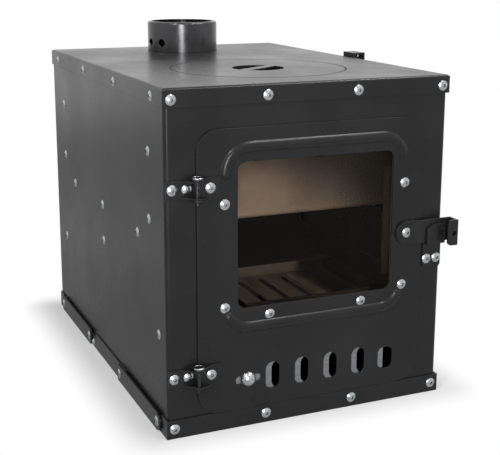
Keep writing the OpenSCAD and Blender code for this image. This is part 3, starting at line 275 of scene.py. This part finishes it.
def rolled_steel():
    """Bare cold-rolled steel of the air slide: a dull grey metal with fine rolling lines along its length."""
    material, place = blank("cold_rolled_steel")
    drawn_out = add(material, "ShaderNodeMapping", {"Vector": place}, Scale=(0.05, 1.0, 1.0))
    lines = add(material, "ShaderNodeTexNoise", {"Vector": drawn_out}, Scale=per_metre(0.8), Detail=2.0,
                Roughness=0.6)
    colour = add(material, "ShaderNodeValToRGB", {"Fac": lines}, stops=[
        (0.3, linear("#76787a")), (0.7, linear("#8f9192"))])
    gloss = add(material, "ShaderNodeMapRange", {"Value": lines}, **NOISE_SPREAD, To_Min=0.36, To_Max=0.5)
    body = add(material, "ShaderNodeBsdfPrincipled", {"Base Color": colour, "Roughness": gloss},
               Metallic=1.0)
    add(material, "ShaderNodeOutputMaterial", {"Surface": body})
    return material


def stove_glass():
    """Clear glass-ceramic pane: a smooth, faintly smoky sheet that shows the firebox and reflects softly."""
    material, place = blank("glass_ceramic")
    haze = add(material, "ShaderNodeTexNoise", {"Vector": place}, Scale=per_metre(60), Detail=2.0,
               Roughness=0.5)
    gloss = add(material, "ShaderNodeMapRange", {"Value": haze}, **NOISE_SPREAD, To_Min=0.01, To_Max=0.04)
    body = add(material, "ShaderNodeBsdfPrincipled", {"Roughness": gloss}, Base_Color=linear("#efe6dc"),
               IOR=1.13, Transmission_Weight=1.0)
    add(material, "ShaderNodeOutputMaterial", {"Surface": body})
    return material


def fibre_tape():
    """Woven glass-fibre tape, black and matt, with a plain weave of about one thread a millimetre."""
    material, place = blank("black_fibre_tape")
    warp, weft = (add(material, "ShaderNodeTexWave", {"Vector": place}, bands_direction=way,
                      Scale=threads(1.0), Distortion=0.4).outputs["Fac"] for way in ("X", "Z"))
    weave = add(material, "ShaderNodeMath", {0: warp, 1: weft}, operation="MULTIPLY")
    colour = add(material, "ShaderNodeValToRGB", {"Fac": weave}, stops=[
        (0.0, linear("#1d1c1b")), (1.0, linear("#3d3b38"))])
    relief = add(material, "ShaderNodeBump", {"Height": weave}, Strength=0.5, Distance=0.4 * MM)
    body = add(material, "ShaderNodeBsdfPrincipled", {"Base Color": colour, "Normal": relief}, Roughness=0.9)
    add(material, "ShaderNodeOutputMaterial", {"Surface": body})
    return material


def coat(nodes, material):
    """Gives these CAD nodes the finish, on every material slot they have."""
    for name in nodes:
        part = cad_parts[name]
        if not part.material_slots:
            part.data.materials.append(material)
        for slot in part.material_slots:
            slot.material = material


class StoveFinish(bpy.types.PropertyGroup):
    """Gloss, grain and colours of the stove's paint."""

    paint_roughness: FloatProperty(
        name="Paint roughness", description="Gloss of the satin heat paint, 0 is a mirror", default=0.28,
        min=0.1, max=1.0, subtype="FACTOR")
    edge_mm: FloatProperty(
        name="Edge round (mm)", description="Radius of the painted sheet edges", default=0.7, min=0.0,
        max=3.0)
    grain_mm: FloatProperty(
        name="Paint grain (mm)", description="Spacing of the sprayed grain as drawn", default=0.9, min=0.1,
        max=5.0)
    paint_dark: shown_colour("Paint, dark", "Darkest tone of the heat paint's slow clouds", "#151515")
    paint_middle: shown_colour("Paint, middle", "Middle tone of the heat paint", "#191919")
    paint_light: shown_colour("Paint, light", "Lightest tone of the heat paint's slow clouds", "#1e1d1d")


class StoveFittings(bpy.types.PropertyGroup):
    """Sizes of the mandrels, the rolled edges of the grate's slots, and the painted shade line round the hob
    lid.
    """

    recess_mm: FloatProperty(
        name="Recess (mm)", description="Diameter of the recess that a broken mandrel stands in",
        default=3.2, min=1.0)
    slots: IntProperty(name="Grate slots", description="How many slots the grate has", default=5, min=1)
    slot_pitch_mm: FloatProperty(
        name="Slot pitch (mm)", description="Distance from one grate slot to the next", default=25.3,
        min=1.0)
    slot_width_mm: FloatProperty(
        name="Slot width (mm)", description="Width of a grate slot", default=12.0, min=1.0)
    slot_length_mm: FloatProperty(
        name="Slot length (mm)", description="Length of a grate slot over its round ends", default=128.0,
        min=1.0)
    slot_back_mm: FloatProperty(
        name="Slot from the rear (mm)", description="Plate left behind the slots", default=9.0, min=0.0)
    slot_roll_mm: FloatProperty(
        name="Slot edge round (mm)", description="Radius of the slots' rolled-down edges", default=1.7,
        min=1.1)
    grate_sheet_mm: FloatProperty(
        name="Grate sheet (mm)", description="Thickness of the grate's plate", default=1.5, min=0.1)
    # The line round the hob lid is painted shade of the lid's gap, in the soot colour
    shade_line_width_mm: FloatProperty(
        name="Soot line (mm)", description="Width of the soot line round the hob lid", default=1.9,
        min=0.2)


class StoveStudio(bpy.types.PropertyGroup):
    """The camera, the floor and the lamps."""

    camera_place: FloatVectorProperty(
        name="Camera", description="Where the camera stands", default=(-0.41536, -1.01716, 0.42262),
        subtype="TRANSLATION", unit="LENGTH")
    azimuth: FloatProperty(
        name="Azimuth", description="Camera's turn round the stove from straight in front",
        default=math.radians(-23.458), subtype="ANGLE", unit="ROTATION")
    elevation: FloatProperty(
        name="Elevation", description="Camera's height above the horizon as an angle",
        default=math.radians(12.645), subtype="ANGLE", unit="ROTATION")
    roll: FloatProperty(
        name="Roll", description="Camera's lean", default=math.radians(0.169), subtype="ANGLE",
        unit="ROTATION")
    lens: FloatProperty(
        name="Lens", description="Focal length on a 36 mm sensor", default=74.26, min=10.0, unit="CAMERA")
    shift: FloatProperty(
        name="Shift", description="Upward shift of the view as a share of its width", default=-0.075)
    floor_radius: FloatProperty(
        name="Floor radius", description="Reach of the pale floor", default=2.6, subtype="DISTANCE",
        unit="LENGTH")
    floor_colour: shown_colour("Floor", "Colour of the floor where the stove's shadow lies", "#d2d2d2")
    shadow_reach: FloatProperty(
        name="Shadow reach", description="How far out the floor's shadow fades to white", default=0.05,
        subtype="DISTANCE", unit="LENGTH")
    strip_power: FloatProperty(
        name="Strip lamp", description="Power of the tall lamp behind the camera", default=24.0, min=0.0,
        unit="POWER")
    key_power: FloatProperty(
        name="Key lamp", description="Power of the small soft lamp up on the left", default=12.0, min=0.0,
        unit="POWER")
    bar_power: FloatProperty(
        name="Bar lamp", description="Power of the long narrow lamp overhead", default=14.0, min=0.0,
        unit="POWER")
    sky: FloatProperty(
        name="Room light", description="Strength of the light from all round", default=0.42, min=0.0)


class STOVE_OT_paint(bpy.types.Operator):
    """Paint the case, doors, hob, hinges, latches, legs and flue collar"""

    bl_idname = "stove.paint"
    bl_label = "Paint the steel"

    def execute(self, context):
        coat(PAINTED, heat_paint(context.scene.stove_finish))
        coat(COLLAR, flake_paint(context.scene.stove_finish))
        return {"FINISHED"}


class STOVE_OT_burn(bpy.types.Operator):
    """Brown the oven box and the grate under painted shade, roll the grate's slots, soot what the fire and
    smoke reach, and paint a shade line round the hob lid
    """

    bl_idname = "stove.burn"
    bl_label = "Brown the firebox"

    def execute(self, context):
        fittings = context.scene.stove_fittings
        # Painted shade in a soot colour: the oven box darkens toward its top and right, the grate only at its
        # right edge; sooted is where the shade is full
        coat(BURNT, burnt_steel(
            "fire_browned_steel", shade_slope=(3.4, 0.0, 5.2), unshaded_at=0.72, sooted=1.42, dullness=0.6))
        ribs = burnt_steel(
            "fire_browned_ribs", shade_slope=(1.0, 0.0, 0.0), unshaded_at=0.066, sooted=0.082, dullness=0.38)
        coat(RIBBED, ribs)
        slot_rims(fittings, ribs)
        soot = sooted_steel()
        coat(SOOTED, soot)
        # The soot colour also draws a painted shadow in the gap round the hob lid
        lid_gap_shade(fittings, soot)
        return {"FINISHED"}


class STOVE_OT_plate(bpy.types.Operator):
    """Plate rivets and knob, hoop each pin head as a painted highlight, blacken the pins, leave the air slide
    bare
    """

    bl_idname = "stove.plate"
    bl_label = "Plate the rivets"

    def execute(self, context):
        plate = bright_zinc()
        coat(PLATED, plate)
        # A bright zinc hoop on each pin head is a painted highlight
        for pin in BLACKENED:
            pin_rim_highlight(pin, plate)
        coat(SLIDE, rolled_steel())
        coat(BLACKENED, dark_steel())
        return {"FINISHED"}


class STOVE_OT_rivet(bpy.types.Operator):
    """Put a broken mandrel in every blind rivet's recess, and line the recess with dark steel as painted
    shade
    """

    bl_idname = "stove.rivet"
    bl_label = "Fill the rivets"

    def execute(self, context):
        # The dark steel lines each recess as painted shade, and the zinc is the mandrel's fresh break
        finishes = [dark_steel(), bright_zinc()]
        for body, nodes in RIVETS.items():
            mandrels_and_recess_shade(body, nodes, context.scene.stove_fittings, finishes)
        return {"FINISHED"}


class STOVE_OT_glaze(bpy.types.Operator):
    """Glaze the window on its fibre tape"""

    bl_idname = "stove.glaze"
    bl_label = "Glaze the window"

    def execute(self, context):
        coat(GLAZED, stove_glass())
        coat(TAPED, fibre_tape())
        return {"FINISHED"}


def surface(name, points, closed_u=False, closed_v=False):
    """A mesh object from one or several grids of points, shape (..., rows, columns, 3): each cell becomes one
    face, and a closed direction joins its last row or column to its first."""
    rows, columns = points.shape[-3:-1]
    i, j = np.meshgrid(np.arange(rows - (not closed_u)), np.arange(columns - (not closed_v)), indexing="ij")
    k, m = (i + 1) % rows, (j + 1) % columns
    cells = np.stack([i * columns + j, i * columns + m, k * columns + m, k * columns + j], -1)
    points = points.reshape(-1, 3)
    first = np.arange(0, len(points), rows * columns)
    faces = (first[:, None, None] + cells.reshape(-1, 4)).reshape(-1, 4)
    mesh = bpy.data.meshes.new(name)
    mesh.from_pydata(points.tolist(), [], faces.tolist())
    mesh.update()
    made = bpy.data.objects.new(name, mesh)
    bpy.context.scene.collection.objects.link(made)
    return made


def fit_out(made, finishes, body):
    """Closes a turned mesh, with its poles merged and its faces outwards, smooths it, and gives it its
    finishes and its body."""
    work = bmesh.new()
    work.from_mesh(made.data)
    bmesh.ops.remove_doubles(work, verts=work.verts, dist=MICRON)
    bmesh.ops.recalc_face_normals(work, faces=work.faces)
    work.to_mesh(made.data)
    work.free()
    made.data.shade_smooth()
    for finish in finishes:
        made.data.materials.append(finish)
    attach(made, body)


def corners(node):
    """A CAD node's lowest and highest corners as arrays."""
    low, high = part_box(node)
    return np.array(low), np.array(high)


def node_points(name):
    """A CAD node's vertices and edges, with its doubled vertices counted once."""
    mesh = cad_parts[name].data
    places = np.empty(len(mesh.vertices) * 3)
    mesh.vertices.foreach_get("co", places)
    ends = np.empty(len(mesh.edges) * 2, int)
    mesh.edges.foreach_get("vertices", ends)
    steps = np.round(places.reshape(-1, 3) / MICRON).astype(int)
    whole, index = np.unique(steps, axis=0, return_inverse=True)
    return whole * MICRON, index.reshape(-1)[ends].reshape(-1, 2)


def rivet_places(name):
    """The middle of every rivet head's top and its outward direction: the node's separate solids are told
    apart by spreading the lowest label along edges, a rivet is shortest along its own axis, and its widest
    ring is at its head."""
    points, edges = node_points(name)
    label = np.arange(len(points))
    while True:
        lowest = np.minimum(label[edges[:, 0]], label[edges[:, 1]])
        spread = label.copy()
        np.minimum.at(spread, edges[:, 0], lowest)
        np.minimum.at(spread, edges[:, 1], lowest)
        spread = spread[spread]
        if (spread == label).all():
            break
        label = spread
    ring_share = 0.95
    tops, ways = [], []
    for solid in np.unique(label):
        rivet = points[label == solid]
        low, high = rivet.min(0), rivet.max(0)
        axis = int(np.argmin(high - low))
        middle = (low + high) / 2
        far = np.linalg.norm(np.delete(rivet - middle, axis, 1), axis=1)
        head = rivet[far > ring_share * far.max(), axis].mean()
        way = np.zeros(3)
        way[axis] = 1.0 if head > middle[axis] else -1.0
        middle[axis] = high[axis] if way[axis] > 0 else low[axis]
        tops.append(middle)
        ways.append(way)
    return np.array(tops), np.array(ways)


def mandrels_and_recess_shade(body, nodes, fittings, finishes):
    """Broken mandrels in the recesses of blind rivets: one profile of (radius, height) turned round each
    rivet's axis, point = top + height * axis + radius * (cos * side + sin * other side). The recess's dark
    lining is painted shade, and the stub that stands in it has the bright face of a fresh break."""
    # Radius and height in millimetres, for a recess 3.2 mm across: from under the recess's lining, which is
    # painted shade, over the lining's rim and back down its inside, then up the stub to its tip
    drawn_recess_mm = 3.2
    profile = np.array([
        (0.0, -1.24), (1.5, -1.24), (1.58, -0.03), (1.5, -1.16), (0.7, -1.16), (0.64, -0.4), (0.44, -0.3),
        (0.22, -0.2), (0.0, -0.16)])
    stub_row = 4
    radius = profile[:, 0] * MM * fittings.recess_mm / drawn_recess_mm
    height = profile[:, 1] * MM
    around = np.linspace(0, TURN, 16, endpoint=False)
    tops, ways = (np.concatenate(both) for both in zip(*(rivet_places(node) for node in nodes)))
    side = np.roll(ways, 1, axis=1)
    other = np.cross(ways, side)
    ring = np.cos(around)[:, None] * side[:, None, :] + np.sin(around)[:, None] * other[:, None, :]
    grids = (tops[:, None, None, :] + height[None, :, None, None] * ways[:, None, None, :]
             + radius[None, :, None, None] * ring[:, None, :, :])
    made = surface("mandrels_" + body, grids, closed_v=True)
    # The lining's rows take the dark steel as painted shade, and the stub's rows take the zinc
    bright = np.repeat(np.arange(len(profile) - 1) >= stub_row, len(around))
    made.data.polygons.foreach_set("material_index", np.tile(bright, len(tops)).astype(np.int32))
    fit_out(made, finishes, body)


def hoop(name, middle, axis, ring, half_width, half_height, steps):
    """A ring with an oval section. Point = middle + (ring + half width * cos) round the axis + half height *
    sin along it, in (round the ring, round the section) steps."""
    around, across = np.meshgrid(
        *(np.linspace(0, TURN, count, endpoint=False) for count in steps), indexing="ij")
    reach = ring + half_width * np.cos(across)
    grid = np.empty(around.shape + (3,))
    grid[..., axis] = middle[axis] + half_height * np.sin(across)
    grid[..., (axis + 1) % 3] = middle[(axis + 1) % 3] + reach * np.cos(around)
    grid[..., (axis + 2) % 3] = middle[(axis + 2) % 3] + reach * np.sin(around)
    return surface(name, grid, closed_u=True, closed_v=True)


def pin_rim_highlight(pin, finish):
    """A painted highlight on a hinge pin's head: a bright plated hoop along the head's rounded rim, of which
    a little stands out of the head."""
    section, proud = 0.8 * MM, 0.35 * MM
    head_share = 0.98
    low, high = corners(pin)
    axis = int(np.argmax(high - low))
    points, _ = node_points(pin)
    middle = (low + high) / 2
    far = np.linalg.norm(np.delete(points - middle, axis, 1), axis=1)
    on_top = points[far > head_share * far.max(), axis].mean() > middle[axis]
    middle[axis] = high[axis] - section + proud if on_top else low[axis] + section - proud
    made = hoop(pin + "_rim", middle, axis, far.max() - section + proud, section, section, (32, 10))
    fit_out(made, [finish], "stove_body")


def lid_gap_shade(fittings, finish):
    """A painted shadow of the gap round the hob lid, in the soot colour: a very flat dark hoop on the
    cooktop, just outside the lid and level with its top."""
    lid_gap, half_height = 0.1 * MM, 0.05 * MM
    half_width = fittings.shade_line_width_mm / 2 * MM
    low, high = corners("hob_lid")
    middle = np.array([*(low + high)[:2] / 2, high[2]])
    ring = (high[0] - low[0]) / 2 + lid_gap + half_width
    made = hoop("lid_gap_shade", middle, 2, ring, half_width, half_height, (144, 8))
    fit_out(made, [finish], "stove_body")


def slot_rims(fittings, finish):
    """Rolled-down edges of the grate's slots: the profile, a sheet's quarter-round with an outer and an inner
    arc, is carried along each slot's outline, two half circles joined by straights. Point = outline - inward
    offset of the profile along the outline's normal, at the plate's top minus the profile's depth."""
    rolled_sheet = 1.0 * MM
    low, high = corners("grate")
    plate = low[2] + fittings.grate_sheet_mm * MM
    across, length = fittings.slot_width_mm * MM, fittings.slot_length_mm * MM
    far_end = high[1] - fittings.slot_back_mm * MM
    outer = fittings.slot_roll_mm * MM
    inner = outer - rolled_sheet
    turn = np.linspace(0, TURN / 4, 7)
    inward = np.concatenate([outer * np.sin(turn), inner * np.sin(turn[::-1])])
    depth = np.concatenate([outer * (1 - np.cos(turn)), outer - inner * np.cos(turn[::-1])])
    half = np.linspace(0, TURN / 2, 17)
    whole = np.concatenate([half, half + TURN / 2])
    centre_y = np.repeat([far_end - across / 2, far_end - length + across / 2], len(half))
    middles = (np.arange(fittings.slots) - (fittings.slots - 1) / 2) * fittings.slot_pitch_mm * MM
    radius = across / 2 - inward
    grids = np.stack(np.broadcast_arrays(
        middles[:, None, None] + np.cos(whole)[None, :, None] * radius[None, None, :],
        centre_y[None, :, None] + np.sin(whole)[None, :, None] * radius[None, None, :],
        plate - depth[None, None, :]), -1)
    made = surface("grate_slot_rims", grids, closed_u=True, closed_v=True)
    fit_out(made, [finish], "stove_body")


def pale_floor(studio):
    """The floor's matt colour, which turns into plain white a little way out for the camera, and further out
    for mirrors and glass."""
    # The share of white that the camera sees at the stove's foot, and where mirrors see the change, in metres
    still_white, mirror_fade = 0.3, (1.0, 2.2)
    # How far the stove's foot lies inside the CAD box, at its sides and at its ends
    foot_inset = (12 * MM, 8 * MM)
    material, place = blank("pale_floor")
    folded = add(material, "ShaderNodeVectorMath", {0: place}, operation="ABSOLUTE")
    outside = add(material, "ShaderNodeVectorMath", {0: folded}, operation="SUBTRACT")
    outside.inputs[1].default_value = (CAD_BOX[1][0] - foot_inset[0], CAD_BOX[1][1] - foot_inset[1], 0)
    beyond = add(material, "ShaderNodeVectorMath", {0: outside}, operation="MAXIMUM")
    reach = add(material, "ShaderNodeVectorMath", {0: beyond}, operation="LENGTH")
    near = add(material, "ShaderNodeMapRange", {"Value": reach.outputs["Value"]}, From_Min=0.0,
               From_Max=studio.shadow_reach, To_Min=still_white, interpolation_type="SMOOTHSTEP")
    far = add(material, "ShaderNodeMapRange", {"Value": reach.outputs["Value"]}, From_Min=mirror_fade[0],
              From_Max=mirror_fade[1], interpolation_type="SMOOTHSTEP")
    seen = add(material, "ShaderNodeLightPath")
    for_camera = add(material, "ShaderNodeMath", {0: near, 1: seen.outputs["Is Camera Ray"]},
                     operation="MULTIPLY")
    bounced = add(material, "ShaderNodeMath", {
        0: seen.outputs["Is Glossy Ray"], 1: seen.outputs["Is Transmission Ray"]}, operation="MAXIMUM")
    for_bounce = add(material, "ShaderNodeMath", {0: far, 1: bounced}, operation="MULTIPLY")
    share = add(material, "ShaderNodeMath", {0: for_camera, 1: for_bounce}, operation="MAXIMUM")
    matt = add(material, "ShaderNodeBsdfDiffuse", Color=studio.floor_colour)
    white = add(material, "ShaderNodeEmission", Strength=1.0)
    mix = add(material, "ShaderNodeMixShader", {0: share, 1: matt, 2: white})
    add(material, "ShaderNodeOutputMaterial", {"Surface": mix})
    return material


def studio_floor(studio):
    """A pale floor, a disc with a pinhole in its middle, on which only the stove's own shadow shows: point =
    (reach * cos, reach * sin, 0)."""
    pinhole_share = 0.0005
    around = np.linspace(0, TURN, 96, endpoint=False)
    out = np.linspace(pinhole_share, 1, 14) * studio.floor_radius
    points = np.stack([np.outer(out, np.cos(around)), np.outer(out, np.sin(around)),
                       np.zeros((len(out), len(around)))], -1)
    floor = surface("studio_floor", points, closed_v=True)
    floor.data.flip_normals()
    floor.data.materials.append(pale_floor(studio))


def white_world(studio):
    """A white background for the camera and for reflections, and a plain grey light from all round."""
    world = bpy.data.worlds.new("studio_world")
    bpy.context.scene.world = world
    world.use_nodes = True
    world.node_tree.nodes.clear()
    seen = add(world, "ShaderNodeLightPath")
    either = add(world, "ShaderNodeMath", {
        0: seen.outputs["Is Camera Ray"], 1: seen.outputs["Is Transmission Ray"]}, operation="MAXIMUM")
    any_ray = add(world, "ShaderNodeMath", {0: either, 1: seen.outputs["Is Glossy Ray"]},
                  operation="MAXIMUM")
    level = add(world, "ShaderNodeMapRange", {"Value": any_ray}, To_Min=studio.sky, To_Max=1.0)
    white = add(world, "ShaderNodeBackground", {"Strength": level}, Color=linear("#ffffff"))
    add(world, "ShaderNodeOutputWorld", {"Surface": white})


def lamp(name, place, aim, width, height, power):
    """A soft lamp of that width and height at a place, turned to its aim."""
    light = bpy.data.lights.new(name, "AREA")
    light.shape, light.size, light.size_y, light.energy = "RECTANGLE", width, height, power
    holder = bpy.data.objects.new(name, light)
    holder.location = place
    holder.rotation_euler = (Vector(aim) - Vector(place)).to_track_quat("-Z", "Y").to_euler()
    holder.visible_camera = False
    bpy.context.scene.collection.objects.link(holder)


def photograph_camera(studio):
    """The camera that was solved from the photograph."""
    camera = bpy.data.cameras.new("camera")
    camera.lens, camera.sensor_width, camera.sensor_fit = studio.lens, 36.0, "HORIZONTAL"
    camera.shift_y = studio.shift
    camera.clip_start, camera.clip_end = 0.05, 30.0
    holder = bpy.data.objects.new("camera", camera)
    azimuth, level = studio.azimuth, math.cos(studio.elevation)
    back = Vector((math.sin(azimuth) * level, -math.cos(azimuth) * level, math.sin(studio.elevation)))
    holder.location = studio.camera_place
    holder.rotation_mode = "QUATERNION"
    holder.rotation_quaternion = (-back).to_track_quat("-Z", "Y") @ Quaternion((0, 0, 1), studio.roll)
    bpy.context.scene.collection.objects.link(holder)
    bpy.context.scene.camera = holder


class STOVE_OT_studio(bpy.types.Operator):
    """Set up the floor, the lamps, the white room and the camera"""

    bl_idname = "stove.studio"
    bl_label = "Set up the studio"

    def execute(self, context):
        studio = context.scene.stove_studio
        studio_floor(studio)
        white_world(studio)
        lamp("strip_lamp", place=(-0.8, -1.9, 0.55), aim=(0, 0.1, 0.2), width=0.3, height=1.0,
             power=studio.strip_power)
        lamp("key_lamp", place=(-1.15, -0.9, 1.75), aim=(0, 0, 0.2), width=0.3, height=0.3,
             power=studio.key_power)
        lamp("bar_lamp", place=(0.7, -0.6, 1.6), aim=(0, -0.2, 0.2), width=1.2, height=0.14,
             power=studio.bar_power)
        photograph_camera(studio)
        context.scene.view_settings.view_transform = "Standard"
        return {"FINISHED"}


class STOVE_PT_panel(bpy.types.Panel):
    """Lists the stove's sizes and steps"""

    bl_idname = "STOVE_PT_panel"
    bl_label = "Wood cookstove"
    bl_space_type = "VIEW_3D"
    bl_region_type = "UI"
    bl_category = "Stove"

    def draw(self, context):
        for group in (context.scene.stove_finish, context.scene.stove_fittings, context.scene.stove_studio):
            for name in group.__annotations__:
                self.layout.prop(group, name)
        for step in STEPS:
            self.layout.operator(step.bl_idname)


STEPS = (STOVE_OT_paint, STOVE_OT_burn, STOVE_OT_plate, STOVE_OT_rivet, STOVE_OT_glaze, STOVE_OT_studio)
CLASSES = (StoveFinish, StoveFittings, StoveStudio, *STEPS, STOVE_PT_panel)


def register():
    for cls in CLASSES:
        bpy.utils.register_class(cls)
    bpy.types.Scene.stove_finish = PointerProperty(type=StoveFinish)
    bpy.types.Scene.stove_fittings = PointerProperty(type=StoveFittings)
    bpy.types.Scene.stove_studio = PointerProperty(type=StoveStudio)


def unregister():
    del bpy.types.Scene.stove_studio
    del bpy.types.Scene.stove_fittings
    del bpy.types.Scene.stove_finish
    for cls in reversed(CLASSES):
        bpy.utils.unregister_class(cls)


def main():
    register()
    bpy.ops.stove.paint()
    bpy.ops.stove.burn()
    bpy.ops.stove.plate()
    bpy.ops.stove.rivet()
    bpy.ops.stove.glaze()
    bpy.ops.stove.studio()


if __name__ == "__main__":
    main()
